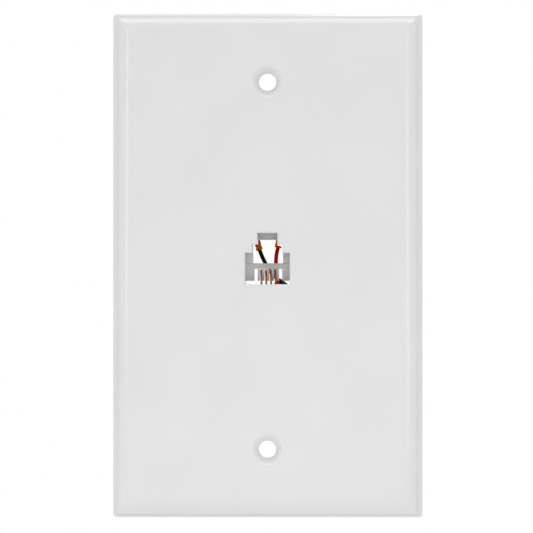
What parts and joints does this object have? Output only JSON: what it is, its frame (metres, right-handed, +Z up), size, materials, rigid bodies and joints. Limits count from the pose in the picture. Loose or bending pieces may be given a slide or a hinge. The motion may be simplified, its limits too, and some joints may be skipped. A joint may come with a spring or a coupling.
{
  "type": "telephone wall socket",
  "caption": "Flush white wall plate with a modular telephone socket in the middle, spring contacts and colour-coded leads to rear screw terminals.",
  "frame": {"origin": "centre of the plate between the two plate screws, on the plane of its rear rim that lies against the wall", "axes": "+X right seen from the front, +Y into the wall, +Z up; the front face looks along -Y"},
  "size_m": [0.0704, 0.0217, 0.1146],
  "materials": {
    "white_plastic": "gloss",
    "white_plastic_carrier": "satin",
    "gold_wire": "polished",
    "tinned_sleeve": "satin",
    "yellow_insulation": "satin",
    "green_insulation": "satin",
    "red_insulation": "satin",
    "black_insulation": "satin",
    "brass_lug": "satin",
    "plated_steel": "satin"
  },
  "bodies": {
    "root": {"wall_plate": "white_plastic", "contact_carrier": "white_plastic_carrier", "contact_yellow": "gold_wire", "contact_green": "gold_wire", "contact_red": "gold_wire", "contact_black": "gold_wire", "splice_yellow": "tinned_sleeve", "splice_green": "tinned_sleeve", "splice_red": "tinned_sleeve", "splice_black": "tinned_sleeve", "lead_yellow": "yellow_insulation", "lead_green": "green_insulation", "lead_red": "red_insulation", "lead_black": "black_insulation", "lug_yellow": "brass_lug", "lug_green": "brass_lug", "lug_red": "brass_lug", "lug_black": "brass_lug", "washer_yellow": "plated_steel", "washer_green": "plated_steel", "washer_red": "plated_steel", "washer_black": "plated_steel", "terminal_screw_yellow": "plated_steel", "terminal_screw_green": "plated_steel", "terminal_screw_red": "plated_steel", "terminal_screw_black": "plated_steel"}
  },
  "joints": []
}
